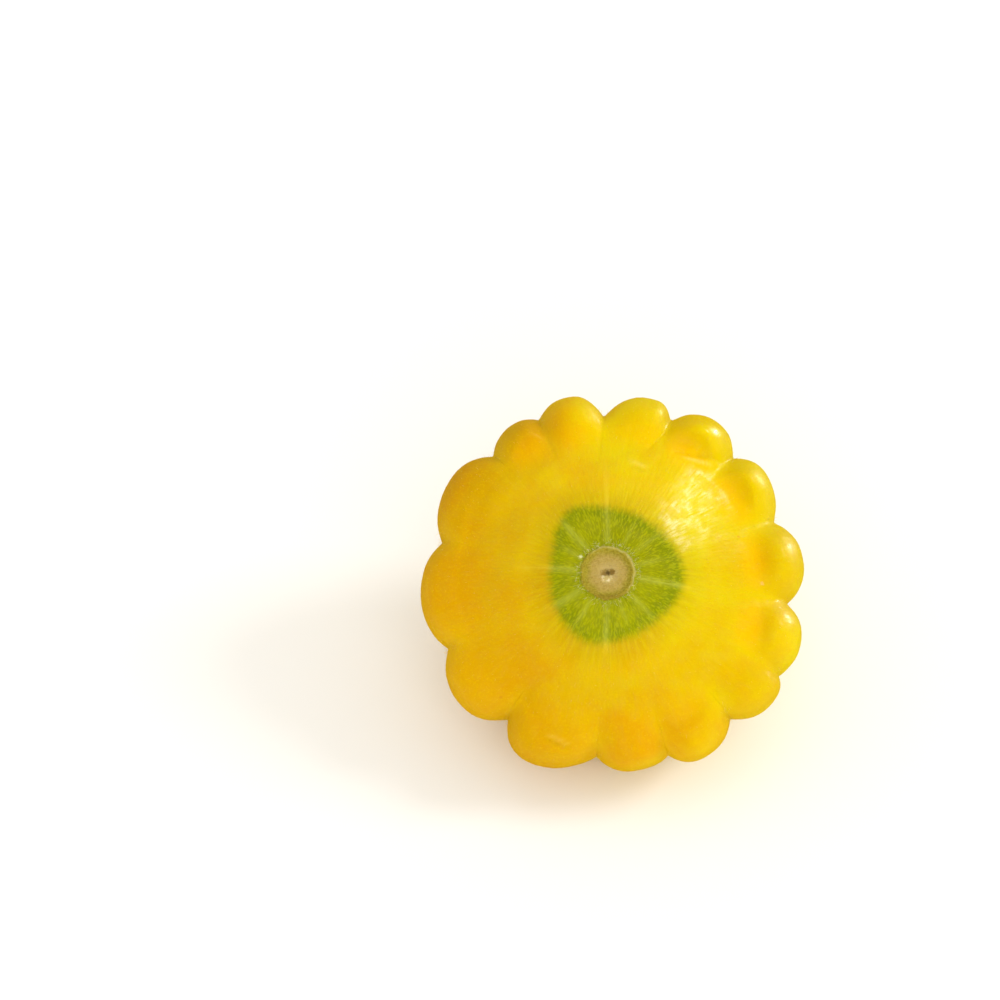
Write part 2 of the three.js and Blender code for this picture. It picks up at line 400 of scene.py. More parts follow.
# %% Close a grid into a skin
def ring_order(values):
    """The values of a grid in the order of its mesh's vertices: inner rows, then the two end points."""
    rows = values.reshape(*values.shape[:2], -1)
    flat = np.vstack([rows[1:-1].reshape(-1, rows.shape[-1]), rows[0, :1], rows[-1, :1]])
    return flat if values.ndim == 3 else flat[:, 0]


def skin_faces(rows, count):
    """Faces of a closed skin over a grid of rows and columns."""
    first = np.arange(rows - 3)[:, None] * count
    one = np.arange(count)
    beside = (one + 1) % count
    quads = np.stack([first + one, first + beside, first + count + beside, first + count + one], -1)
    start, end = (rows - 2) * count, (rows - 2) * count + 1
    top = (rows - 3) * count
    caps = [(start, b, a) for a, b in zip(one.tolist(), beside.tolist())]
    caps += [(end, top + a, top + b) for a, b in zip(one.tolist(), beside.tolist())]
    return quads.reshape(-1, 4).tolist() + caps


# %% The skin and the stub as pieces
fruit_skin = add_piece("fruit_skin", ring_order(fruit), skin_faces(*fruit.shape[:2]), "fruit")
stem_stub = add_piece("stem_stub", ring_order(stem), skin_faces(*stem.shape[:2]), "stem")

# %% [markdown]
# ## Bristles and down
# The whole plant is bristly. A young fruit keeps short pale hairs round its blossom scar and in the notches
# between lobes, and the stub keeps stiffer ones along its edges. Hair curves would be lost when the part is
# exported, so each hair is a slim closed cone of ten faces, bent once, all of one kind joined in one piece.

# %% Shape of a bristle
ROOT_SUNK = 0.08


def bristle_points(root, aim, bend, length, thickness):
    """Seven points for each bristle: a root ring of three, a middle ring of three and a tip."""
    side = np.cross(aim, rng.normal(size=aim.shape))
    side /= np.linalg.norm(side, axis=1, keepdims=True)
    other = np.cross(aim, side)
    spin = np.arange(3) * 2 * math.pi / 3
    ring = np.cos(spin)[None, :, None] * side[:, None] + np.sin(spin)[None, :, None] * other[:, None]
    long = length[:, None]
    foot = (root - ROOT_SUNK * aim)[:, None] + ring * thickness / 2
    middle = (root + 0.55 * long * aim)[:, None] + ring * thickness * 0.32
    tip = root + long * aim + 0.35 * long * bend
    return np.concatenate([foot, middle, tip[:, None]], axis=1).reshape(-1, 3)


BRISTLE_FACES = np.array([
    (2, 1, 0), (0, 1, 4), (0, 4, 3), (1, 2, 5), (1, 5, 4),
    (2, 0, 3), (2, 3, 5), (3, 4, 6), (4, 5, 6), (5, 3, 6),
])
POINTS_PER_BRISTLE = BRISTLE_FACES.max() + 1
print("points in a bristle:", POINTS_PER_BRISTLE)


# %% Plant bristles on a grid
def add_bristles(name, grid, weight, count, long, thickness, lift, comb):
    """Bristles rooted at random on a grid, more where its weight is high, combed along `comb`."""
    normal = outward(grid)
    width = np.linalg.norm(np.roll(grid, -1, 1) - grid, axis=-1)
    tall = np.linalg.norm(np.gradient(grid, axis=0), axis=-1)
    chance = (weight * width * tall).ravel()
    picked = rng.choice(chance.size, count, p=chance / chance.sum())
    up = normal.reshape(-1, 3)[picked]
    lean = comb.reshape(-1, 3)[picked] + 0.5 * rng.normal(size=up.shape)
    aim = lift * up + lean
    aim /= np.linalg.norm(aim, axis=1, keepdims=True)
    root = grid.reshape(-1, 3)[picked] + 0.1 * rng.normal(size=up.shape) * (1 - abs(up))
    bend = 0.6 * rng.normal(size=up.shape) - 0.3 * up
    length = rng.uniform(*long, count)
    points = bristle_points(root, aim, bend, length, thickness)
    faces = (np.arange(count)[:, None, None] * POINTS_PER_BRISTLE + BRISTLE_FACES).reshape(-1, 3)
    return add_piece(name, points, faces.tolist())


# %% Where they grow
from_axis = np.hypot(fruit[..., 0], fruit[..., 1])
over_top = smoothstep(0, 4, fruit[..., 2])
radial = fruit * (1, 1, 0) / np.maximum(from_axis, 1)[..., None]
downhill = np.gradient(fruit, axis=0)
downhill = -downhill / np.maximum(np.linalg.norm(downhill, axis=-1, keepdims=True), 1e-9)
print("share of the grid on the blossom side:", round(float(over_top.mean()), 2))

# %% Plant the four kinds
round_scar = hump(6.5, 0.6, from_axis) * over_top
scar_hairs = add_bristles("scar_hairs", fruit, round_scar, 320, (0.3, 1.4), 0.042, 0.35, 0.8 * radial)

in_notches = smoothstep(0.8, 0.97, across_lobe) * hump(39.5, 2.2, from_axis)
notch_hairs = add_bristles("notch_hairs", fruit, in_notches, 300, (0.5, 1.5), 0.045, 0.9, radial)

everywhere = 0.35 + over_top * smoothstep(8, 14, from_axis)
skin_down = add_bristles("skin_down", fruit, everywhere, 2200, (0.25, 0.6), 0.035, 0.8, downhill)

on_stub = smoothstep(0.25, 0.9, stem_share) * smoothstep(0.5, 2, below_seat) + 0.15
stub_out = stem * (1, 1, 0) / np.maximum(np.hypot(stem[..., 0], stem[..., 1]), 1)[..., None]
stub_bristles = add_bristles("stub_bristles", stem, on_stub, 520, (0.4, 1.3), 0.07, 0.8, 0.4 * stub_out)

# %% [markdown]
# ## Mixing a finish
# A finish is a small net of nodes: places and noises go in, colour, gloss and bumps come out. It can be wired
# by hand in the shader editor. Wiring it from short calls keeps it readable, and the same few calls serve
# every finish on this fruit.

# %% Calls that place a node and give back its socket
class Finish:
    """A material being mixed. Any value handed to a call may be a number or another node's socket."""

    def __init__(self, name):
        self.material = bpy.data.materials.new(name)
        self.material.use_nodes = True
        self.tree = self.material.node_tree
        self.shader = self.tree.nodes["Principled BSDF"]

    def node(self, kind, inputs=(), **settings):
        node = self.tree.nodes.new(kind)
        for name, value in settings.items():
            setattr(node, name, value)
        for socket, value in dict(inputs).items():
            self.feed(node.inputs[socket], value)
        return node

    def feed(self, socket, value):
        if isinstance(value, bpy.types.NodeSocket):
            self.tree.links.new(value, socket)
        else:
            socket.default_value = value

    def maths(self, operation, *values):
        return self.node("ShaderNodeMath", enumerate(values), operation=operation).outputs[0]

    def step(self, value, low, high, top=1.0):
        """0 where the value is under `low`, rising smoothly to `top` at `high`."""
        ranged = {"Value": value, "From Min": low, "From Max": high, "To Max": top}
        return self.node("ShaderNodeMapRange", ranged, interpolation_type="SMOOTHSTEP").outputs[0]

    def blend(self, share, first, second):
        """Colour that goes from the first to the second as the share goes from 0 to 1."""
        inputs = {"Factor": share, 6: first, 7: second}
        return self.node("ShaderNodeMix", inputs, data_type="RGBA").outputs[2]

    def noise(self, place, scale, detail=2.0):
        inputs = {"Vector": place, "Scale": scale, "Detail": detail}
        return self.node("ShaderNodeTexNoise", inputs).outputs[0]

    def read(self, name, output="Fac"):
        """A value that was marked on the mesh."""
        return self.node("ShaderNodeAttribute", attribute_name=name).outputs[output]

    def join(self, x, y, z):
        return self.node("ShaderNodeCombineXYZ", {"X": x, "Y": y, "Z": z}).outputs[0]

    def bumps(self, height):
        """Bends the light as if the skin rose by `height` millimetres."""
        bump = self.node("ShaderNodeBump", {"Height": height, "Distance": MM, "Strength": 1.0})
        self.feed(self.shader.inputs["Normal"], bump.outputs[0])

    def settings(self, **values):
        for name, value in values.items():
            self.feed(self.shader.inputs[name.replace("_", " ")], value)


def colour(red, green, blue):
    """A colour picked on a 0 to 255 chart, as the light it reflects."""
    shades = [shade / 255 for shade in (red, green, blue)]
    return *[s / 12.92 if s <= 0.04045 else ((s + 0.055) / 1.055) ** 2.4 for s in shades], 1.0


# %% [markdown]
# ## The green patch at the blossom end
# Where the flower fell off, the skin stays green in a patch with a wavy edge, crossed by pale veins that run
# out from the scar. A painted map would do, but it would tie the part to an image. Instead the distance in
# from the patch's edge and the strength of the veins are marked at every vertex, and noise frays them later.

# %% Edge of the patch and its veins
PATCH_EDGE = [
    (1, 16.7), (22, 15.8), (45, 14.8), (70, 14.5), (90, 14.7), (108, 15.8), (121, 16.7), (137, 15.3),
    (160, 13.1), (186, 12.9), (212, 13.8), (233, 14.8), (252, 15.6), (272, 15.1), (297, 14.6),
    (322, 15.1), (341, 16.2),
]
# angle, strength, half-width and how far out each vein is lost
VEINS = [
    (-9, 0.62, 0.6, 22), (-44, 0.36, 0.6, 17), (268, 0.5, 0.6, 21), (291, 0.3, 0.5, 15), (212, 0.44, 0.8, 19),
    (175, 0.5, 0.7, 23), (131, 0.46, 0.8, 19), (150, 0.3, 0.6, 15), (91, 0.4, 0.7, 28), (62, 0.25, 0.6, 16),
    (38, 0.3, 0.6, 18), (15, 0.3, 0.6, 16), (238, 0.35, 0.6, 17),
]
FAR_OUTSIDE = -30.0
print("veins:", len(VEINS))


# %% Mark the patch and the veins
def mark_patch(piece, points):
    """Marks how far inside the patch's edge each vertex lies, and how strong the veins are there."""
    angle = np.degrees(np.arctan2(points[:, 1], points[:, 0])) % FULL_TURN
    reach = np.hypot(points[:, 0], points[:, 1])
    around, edge = np.array([(a + turn, r) for turn in (-360, 0, 360) for a, r in PATCH_EDGE]).T
    fine = smooth_outline(np.stack([around, edge], 1), 2000)
    inside = np.interp(angle, fine[:, 0], fine[:, 1]) - reach
    mark(piece.data, "inside_patch", np.where(points[:, 2] > 0, inside, FAR_OUTSIDE))

    veins = np.zeros_like(reach)
    for vein_angle, strength, half_width, lost in VEINS:
        away = np.radians((angle - vein_angle + 180) % 360 - 180)
        sideways = np.where(np.cos(away) > 0, reach * np.sin(away), 99)
        length = smoothstep(5.5, 8, reach) * (1 - smoothstep(lost - 7, lost, reach))
        veins += strength * hump(0, half_width, sideways) * length
    mark(piece.data, "veins", np.where(points[:, 2] > 0, veins, 0))


mark_patch(fruit_skin, ring_order(fruit))
print("patch edge from", min(r for _, r in PATCH_EDGE), "to", max(r for _, r in PATCH_EDGE), "mm out")

# %% [markdown]
# ## How deep in tone and how shiny each lobe is, with painted shade in the tone
# A fruit colours and waxes over unevenly: one lobe is deep gold and dull beside another that is clear yellow
# and shines. One noise over the whole skin would ignore the lobes, so each has two numbers of its own here,
# and they run into each other from the middle of one lobe to the middle of the next. The deeper tone is
# partly the lobes' own colour and partly painted shade.

# %% Tone, partly painted shade, and shine of each lobe
# how much deeper than yellow each lobe is, partly its own tone and partly painted shade, and how much of the
# dome's shine it has
LOBE_TONES = [
    (0.18, 0.5), (0.12, 0.35), (0.04, 1.2), (0.08, 0.25), (0.1, 0.1), (0.46, 0.3), (0.42, 0.4),
    (0.22, 0.6), (0.14, 0.6), (0.28, 0.4), (0.12, 0.6), (0.08, 0.6), (0.15, 0.5), (0.04, 0.8),
]
DOME_DEEPER_AND_SHADE = 0.17
DEEPER_ON_SIDE = 0.35
crests = np.array([row[3] for row in LOBES])
turn_of = np.degrees(np.arctan2(fruit[..., 1], fruit[..., 0]))
deeper_and_shade, shine = (np.interp(turn_of, crests, tone, period=FULL_TURN) for tone in np.array(LOBE_TONES).T)
on_lobe = smoothstep(26, 36, from_axis)
# the dome is painted deeper too, all but its upper part: partly its own tone, partly painted shade
dome_deeper_and_shade = DOME_DEEPER_AND_SHADE * smoothstep(24, 8, fruit[..., 1])
deeper_and_shade = dome_deeper_and_shade + (deeper_and_shade - dome_deeper_and_shade) * on_lobe
side_fade = DEEPER_ON_SIDE + (1 - DEEPER_ON_SIDE) * smoothstep(-14, 0, fruit[..., 2])
mark(fruit_skin.data, "deeper_and_shade", ring_order(deeper_and_shade * side_fade))
mark(fruit_skin.data, "shine", ring_order(1 + (shine - 1) * on_lobe))
print("deepest tone:", round(float(deeper_and_shade.max()), 2), "brightest shine:", round(float(shine.max()), 2))

# %% Painted shade on the lobe faces, painted bounce light in the dips behind them, welts and grooves
# painted warm shade on the faces of the lobes, stronger toward the right
right_side = 0.4 + 0.6 * smoothstep(-10, 25, fruit[..., 0])
painted_lobe_shade = hump(36.5, 5.5, from_axis) * (1 - across_lobe**2) * over_top * right_side
mark(fruit_skin.data, "painted_lobe_shade", ring_order(painted_lobe_shade))
KNUCKLE_ROW = 6
knuckles = fruit_columns()[KNUCKLE_ROW]
# painted orange bounce light in the dips behind the knuckles
dip_bounce_light = hump(33.8, 3.2, from_axis) * (1 - across_lobe**2) * over_top * np.clip(knuckles - 0.3, 0, 1.2)
mark(fruit_skin.data, "dip_bounce_light", ring_order(dip_bounce_light))
mark(fruit_skin.data, "welts", ring_order(welts / welts.max()))
in_groove = smoothstep(0.55, 1, across_lobe) * smoothstep(27, 38, from_axis)
mark(fruit_skin.data, "groove", ring_order(in_groove))
print("deepest dip:", round(float(dip_bounce_light.max()), 2))

# %% Distance from the scar over the skin
steps_along = np.linalg.norm(np.diff(smooth_outline(CREST_OUTLINE, ROWS), axis=0), axis=1)
from_scar = np.concatenate([np.cumsum(steps_along[::-1])[::-1], [0]])
mark(fruit_skin.data, "from_scar", ring_order(np.tile(from_scar[:, None], (1, fruit.shape[1]))))
print("longest way from scar to stem over the skin, mm:", round(float(from_scar.max()), 1))

# %% [markdown]
# ## The waxy skin
# The skin is a thin waxy rind over flesh that light soaks into. A plain yellow plastic would look hard, so
# the finish has a little light under the surface, a soft gloss that small bumps break up, and three layers of
# colour: yellow clouded with orange, the green patch with its pale dashes, and the corky scar.

# %% Places to hang the noises on
skin = Finish("waxy_skin")
place = skin.read("drawn", "Vector")
skin_x, skin_y, _ = skin.node("ShaderNodeSeparateXYZ", {0: place}).outputs
turned = skin.maths("ARCTAN2", skin_y, skin_x)
x_squared, y_squared = (skin.maths("MULTIPLY", part, part) for part in (skin_x, skin_y))
reach = skin.maths("SQRT", skin.maths("ADD", x_squared, y_squared))
from_scar_mm = skin.read("from_scar")


def streaks(finish, turn, distance, around, along, detail=2.0):
    """Noise drawn out along the lines from the scar: `around` cells to a radian, `along` to a millimetre."""
    wrapped = finish.maths("MULTIPLY", finish.maths("COSINE", turn), around)
    crossed = finish.maths("MULTIPLY", finish.maths("SINE", turn), around)
    drawn_out = finish.join(wrapped, crossed, finish.maths("MULTIPLY", distance, along))
    return finish.noise(drawn_out, 1.0, detail)


# %% Noises and colours of the yellow skin
clouds = skin.noise(place, 0.075, 4.0)
speckle = skin.noise(place, 2.4, 2.0)
long_streaks = streaks(skin, turned, from_scar_mm, 24, 0.16)
inside_patch = skin.read("inside_patch")
# the colours, from the widest areas to the finest streaks
CLEAR_YELLOW, RIPE_AND_SHADED_YELLOW = colour(220, 206, 1), colour(215, 160, 0)
DEEP_GOLD_AND_SHADE = colour(150, 106, 0)
LEMON_FLECK, AMBER_FLECK = colour(232, 206, 4), colour(202, 146, 2)
OLIVE_HALO, LEMON_STREAK = colour(150, 126, 8), colour(224, 208, 6)
GROOVE_YELLOW, DIP_BOUNCE_ORANGE, WELT_CREAM = colour(230, 202, 4), colour(252, 186, 0), colour(246, 222, 120)

# %% How ripe the skin is at each place, with painted shade on the side away from the window and on the lobe faces
# painted shade: the left and lower side, away from the window, is painted deeper and more orange, broken up
# by the clouds
toward_window = skin.maths("ADD", skin.maths("MULTIPLY", skin_x, 0.9), skin.maths("MULTIPLY", skin_y, 0.45))
painted_shade_side = skin.step(skin.maths("MULTIPLY_ADD", clouds, -50, toward_window), 15, -60, 0.7)
rim_tone_and_lobe_shade = skin.step(reach, 19, 33, 0.15)
blushes = skin.step(clouds, 0.42, 0.66, 0.18)
# painted shade: the lobe faces, more on the right, are painted warmer and deeper
rim_tone_and_lobe_shade = skin.maths("MULTIPLY_ADD", skin.read("painted_lobe_shade"), 0.2, rim_tone_and_lobe_shade)
ripeness_and_painted_shade = skin.maths("ADD", skin.maths("ADD", painted_shade_side, rim_tone_and_lobe_shade), blushes)
yellow = skin.blend(ripeness_and_painted_shade, CLEAR_YELLOW, RIPE_AND_SHADED_YELLOW)
# the deeper tone, partly the lobes' own gold and partly painted shade
yellow = skin.blend(skin.read("deeper_and_shade"), yellow, DEEP_GOLD_AND_SHADE)
print("nodes that make it ripe:", len(skin.tree.nodes))

# %% Flecks and streaks over the yellow
yellow = skin.blend(skin.step(speckle, 0.5, 0.72, 0.2), yellow, LEMON_FLECK)
yellow = skin.blend(skin.step(skin.noise(place, 3.1), 0.52, 0.7, 0.18), yellow, AMBER_FLECK)
stem_streaks = streaks(skin, turned, from_scar_mm, 64, 0.07)
on_side = skin.step(from_scar_mm, 44, 58)
side_streaks = skin.maths("MULTIPLY", on_side, skin.step(stem_streaks, 0.5, 0.7, 0.38))
yellow = skin.blend(side_streaks, yellow, LEMON_FLECK)
yellow = skin.blend(skin.step(inside_patch, -7.5, 0, 0.34), yellow, OLIVE_HALO)
near_patch = skin.step(inside_patch, -10, -0.5)
pale_streaks = skin.maths("MULTIPLY", near_patch, skin.step(long_streaks, 0.4, 0.7, 0.22))
yellow = skin.blend(pale_streaks, yellow, LEMON_STREAK)
# a lemon tint in the grooves, painted orange bounce light in the dips and cream on the welts
for marked, strength, tint in [
    ("groove", 0.15, GROOVE_YELLOW), ("dip_bounce_light", 0.36, DIP_BOUNCE_ORANGE), ("welts", 0.4, WELT_CREAM),
]:
    yellow = skin.blend(skin.maths("MULTIPLY", skin.read(marked), strength), yellow, tint)
print("nodes with the flecks and streaks:", len(skin.tree.nodes))

# %% [markdown]
# ## The green of the patch
# Round the scar the rind is still green, darkest toward the edge of the patch and broken up by short pale
# dashes that point at the scar. They could be modelled as slits, but they lie under the wax and hardly rise
# from it, so they are noise drawn out along the lines from the scar, with a trace of height added later.

# %% Green, with pale dashes and veins
LIME, GRASS = colour(144, 148, 1), colour(128, 136, 0)
DARK_GREEN, EDGE_GREEN = colour(96, 104, 0), colour(112, 128, 0)
DASH_LIME, VEIN_CREAM, VEIN_YELLOW = colour(176, 178, 6), colour(176, 182, 72), colour(236, 208, 70)
fray = streaks(skin, turned, from_scar_mm, 26, 0.4, 3.0)
frayed = skin.maths("ADD", inside_patch, skin.maths("MULTIPLY", skin.maths("SUBTRACT", fray, 0.5), 1.8))
patch = skin.step(frayed, -1.7, 1.3)
dashes = streaks(skin, turned, from_scar_mm, 40, 0.95, 2.0)
green = skin.blend(skin.step(skin.noise(place, 0.2), 0.35, 0.65), LIME, GRASS)
green = skin.blend(skin.step(skin.maths("ADD", skin_x, skin_y), -4, 14, 0.22), green, DARK_GREEN)
green = skin.blend(skin.step(inside_patch, 4.5, 1.0, 0.45), green, EDGE_GREEN)
green = skin.blend(skin.step(dashes, 0.46, 0.62, 0.5), green, DASH_LIME)
veins = skin.maths("MULTIPLY", skin.read("veins"), skin.step(long_streaks, 0.2, 0.55, 0.85))
green = skin.blend(veins, green, VEIN_CREAM)
yellow = skin.blend(skin.maths("MULTIPLY", veins, 0.5), yellow, VEIN_YELLOW)
rind = skin.blend(patch, yellow, green)
print("nodes with the green patch:", len(skin.tree.nodes))

# %% [markdown]
# ## The corky scar
# Where the flower broke off, the fruit healed with a disc of cork: a raised ring, a flat, paler middle and a
# small torn pit. Ring and flat are in the outline already. The rest is too fine for the grid, so the finish
# adds rings of colour by the distance from the axis, and ragged spots for the flakes and the pit.

# %% Rings of cork, with painted shade under the ring and a painted highlight on its upper right
CORK, DARK_CORK = colour(164, 149, 50), colour(142, 129, 36)
DISC, DARK_DISC, DISC_MIDDLE = colour(184, 160, 88), colour(168, 143, 72), colour(192, 168, 104)
RING_SHADE_BROWN, RING_HIGHLIGHT_CREAM = colour(126, 100, 40), colour(204, 196, 126)
wobble = skin.maths("MULTIPLY", skin.maths("SUBTRACT", skin.noise(place, 0.55, 3.0), 0.5), 1.5)
scar_reach = skin.maths("ADD", reach, wobble)
grain = skin.noise(place, 2.6, 3.0)
cork = skin.blend(skin.step(grain, 0.4, 0.66), CORK, DARK_CORK)
disc = skin.blend(skin.step(grain, 0.36, 0.7), DISC, DARK_DISC)
disc = skin.blend(skin.step(scar_reach, 1.2, 3.2), DISC_MIDDLE, disc)
scar = skin.blend(skin.step(scar_reach, 3.3, 5.2), disc, cork)
# painted shade along the lower side of the raised ring
ring_painted_shade = skin.maths("MULTIPLY", skin.step(scar_reach, 4.6, 5.4), skin.step(skin_y, -3.6, -5.4, 0.4))
scar = skin.blend(ring_painted_shade, scar, RING_SHADE_BROWN)
# painted highlight on the upper right of the ring, where its pale hairs catch the light
lit_upper_right = skin.step(skin.maths("ADD", skin_x, skin_y), -2, 6, 0.5)
ring_painted_highlight = skin.maths("MULTIPLY", skin.step(scar_reach, 5.3, 5.9), lit_upper_right)
scar = skin.blend(ring_painted_highlight, scar, RING_HIGHLIGHT_CREAM)
print("nodes with the scar's rings:", len(skin.tree.nodes))

# %% Flakes and pits in the middle of the scar
SCAR_TOP = 16.6
coarse = skin.noise(place, 1.3)


def spot(centre, radius):
    """1 within a ragged spot about a point of the drawing, 0 outside it."""
    away = skin.node("ShaderNodeVectorMath", {0: place, 1: centre}, operation="DISTANCE").outputs["Value"]
    ragged = skin.maths("MULTIPLY_ADD", coarse, 2 * radius, away)
    return skin.step(ragged, radius * 2.2, radius * 1.6)


for spot_x, spot_y, spot_size, spot_colour in [
    (-0.1, -1.0, 1.5, colour(200, 178, 114)),
    (-1.0, 0.2, 0.85, colour(152, 124, 64)),
    (0.9, 0.35, 0.8, colour(138, 110, 56)),
    (-0.15, 0.15, 0.8, colour(136, 112, 62)),
    (-0.1, 0.1, 0.42, colour(96, 78, 44)),
    (-1.1, -1.1, 0.55, colour(236, 222, 178)),
    (0.1, -1.5, 0.55, colour(236, 222, 176)),
    (0.8, -1.0, 0.4, colour(226, 208, 156)),
    (4.2, -0.9, 0.4, colour(218, 200, 144)),
]:
    scar = skin.blend(spot((spot_x, spot_y, SCAR_TOP), spot_size), scar, spot_colour)
on_scar = skin.maths("MULTIPLY", skin.step(scar_reach, 6.3, 5.8), skin.step(inside_patch, 0, 2))
print("nodes with the scar's middle:", len(skin.tree.nodes))

# %% [markdown]
# ## Blemishes
# A few nicks and rubbed places show that the fruit grew outdoors. Noise would scatter them evenly, which
# looks like a print, so each is put in its place by angle, reach and height, with a size and colour.

# %% Small blemishes on the rind
BLEMISH_STRENGTH = 0.6
for angle, spot_reach, height, size, spot_colour in [
    (-2, 34.6, 7, 0.7, colour(240, 190, 120)),
    (255, 39.6, 5, 0.8, colour(206, 150, 30)),
    (301, 39, 5, 0.4, colour(170, 110, 20)),
    (228, 36, 6, 0.4, colour(196, 134, 20)),
    (18, 31, 7.5, 0.4, colour(210, 140, 30)),
    (149, 7.0, 16.9, 0.5, colour(238, 238, 196)),
]:
    blemish = skin.maths("MULTIPLY", spot((*on_dome(angle, spot_reach), height), size), BLEMISH_STRENGTH)
    rind = skin.blend(blemish, rind, spot_colour)
skin.settings(Base_Color=skin.blend(on_scar, rind, scar))
print("nodes that colour the skin:", len(skin.tree.nodes))

# %% [markdown]
# ## Gloss, and light under the skin
# Wax makes the skin shine, but not alike: it is rubbed off in places and thin on the dull lobes. One even
# gloss would look like a toy, so there are two. The rind has its own soft one, and over it lies a coat of wax
# whose strength follows the lobes and breaks up in fine streaks. A little light soaks in under both.

# %% The rind's own gloss
gloss = skin.maths("ADD", skin.step(skin.noise(place, 0.5), 0.3, 0.7, 0.14), 0.32)
gloss = skin.maths("MULTIPLY_ADD", patch, 0.12, gloss)
gloss = skin.maths("MULTIPLY_ADD", on_scar, 0.35, gloss)
waxed = skin.read("shine")
skin.settings(Roughness=skin.maths("MULTIPLY_ADD", skin.maths("SUBTRACT", 1.0, waxed), 0.12, gloss))
SOAK = 0.002
skin.settings(
    Subsurface_Weight=0.18, Subsurface_Radius=(1.0, 0.55, 0.08), Subsurface_Scale=SOAK,
    Specular_IOR_Level=0.35, Specular_Tint=(1.0, 0.84, 0.05, 1.0),
    Sheen_Weight=0.08, Sheen_Roughness=0.1, Sheen_Tint=(1.0, 0.9, 0.2, 1.0),
)
print("light soaks in, mm:", SOAK / MM)

# %% A coat of wax, rubbed off in places
fine_streaks = streaks(skin, turned, from_scar_mm, 44, 0.3, 3.0)
rubbed = skin.maths("ADD", skin.step(skin.noise(place, 0.4, 3.0), 0.4, 0.6, 0.8), 0.2)
waxy = skin.maths("MULTIPLY", rubbed, skin.step(fine_streaks, 0.3, 0.62))
waxy = skin.maths("MULTIPLY", waxy, skin.step(on_scar, 0.6, 0.0, 0.8))
skin.settings(Coat_Weight=skin.maths("MULTIPLY", waxy, waxed), Coat_Roughness=0.23, Coat_IOR=1.4)
print("nodes with the coat of wax:", len(skin.tree.nodes))

# %% Ripples, pores and grooves too fine to model
ripples = skin.maths("MULTIPLY", skin.noise(place, 0.32, 3.0), 0.17)
pores = skin.maths("MULTIPLY", skin.noise(place, 2.0, 2.0), 0.04)
grooves = skin.maths("MULTIPLY_ADD", fine_streaks, 0.08, skin.maths("MULTIPLY", long_streaks, 0.1))
raised = skin.maths("MULTIPLY", skin.maths("MULTIPLY", dashes, patch), 0.1)
corky = skin.maths("MULTIPLY", skin.maths("MULTIPLY", grain, on_scar), 0.35)
skin_height = skin.maths("ADD", skin.maths("ADD", ripples, pores), skin.maths("ADD", grooves, raised))
skin.bumps(skin.maths("ADD", skin_height, corky))
fruit_skin.data.materials.append(skin.material)
print("nodes in the waxy skin:", len(skin.tree.nodes))

# %% [markdown]
# ## The finish of the stub
# The sides of the stub are tough green rind, bright along the ridges and nearly blue-green in the hollows.
# The cut face has dried: it is dull olive, felted with pale fibres that fan out from the middle. Both share
# one finish, which reads how high on a ridge a point is and whether it lies on the cut.

# %% Marks on the stub
# the cut face goes from its middle to this far along the spans of the outline
FACE_END, FACE_FADE = 2.1, 2.5
outline_span = np.linspace(0, len(RIDGE_OUTLINE) - 1, STEM_ROWS)
on_cut = np.tile(smoothstep(FACE_FADE, FACE_END, outline_span)[:, None], (1, STEM_COLUMNS))
mark(stem_stub.data, "ridge", ring_order(stem_share))
mark(stem_stub.data, "cut_face", ring_order(on_cut))
print("cut face vertices:", int((outline_span < FACE_END).sum()) * STEM_COLUMNS)

# %% Noises of the stub
stub = Finish("stub_rind")
stub_place = stub.read("drawn", "Vector")
stub_x, stub_y, stub_z = stub.node("ShaderNodeSeparateXYZ", {0: stub_place}).outputs
stub_turn = stub.maths("ARCTAN2", stub_y, stub_x)
ridge = stub.read("ridge")
cut_face = stub.read("cut_face")
blotches = stub.noise(stub_place, 0.4, 3.0)
felt = stub.noise(stub_place, 2.2, 4.0)
side_fibres = streaks(stub, stub_turn, stub_z, 22, 0.35)
fan = streaks(stub, stub_turn, stub_z, 11, 0.2, 4.0)
print("noises in the stub's finish:", sum(node.type == "TEX_NOISE" for node in stub.tree.nodes))

# %% Colours of the stub
HOLLOW_GREEN, RIDGE_GREEN = colour(106, 130, 26), colour(168, 182, 54)
FIBRE_GREEN, BLOTCH_GREEN = colour(196, 206, 100), colour(74, 100, 48)
DRY_OLIVE, DARK_OLIVE = colour(150, 152, 62), colour(112, 124, 44)
FAN_STRAW, FELT_STRAW = colour(190, 184, 118), colour(206, 198, 140)
side = stub.blend(stub.step(ridge, 0.05, 0.8), HOLLOW_GREEN, RIDGE_GREEN)
side = stub.blend(stub.step(side_fibres, 0.5, 0.7, 0.6), side, FIBRE_GREEN)
side = stub.blend(stub.step(blotches, 0.58, 0.7, 0.55), side, BLOTCH_GREEN)
face = stub.blend(stub.step(blotches, 0.35, 0.65), DRY_OLIVE, DARK_OLIVE)
face = stub.blend(stub.step(fan, 0.5, 0.68, 0.7), face, FAN_STRAW)
face = stub.blend(stub.step(felt, 0.55, 0.7, 0.4), face, FELT_STRAW)
print("nodes that colour the stub:", len(stub.tree.nodes))

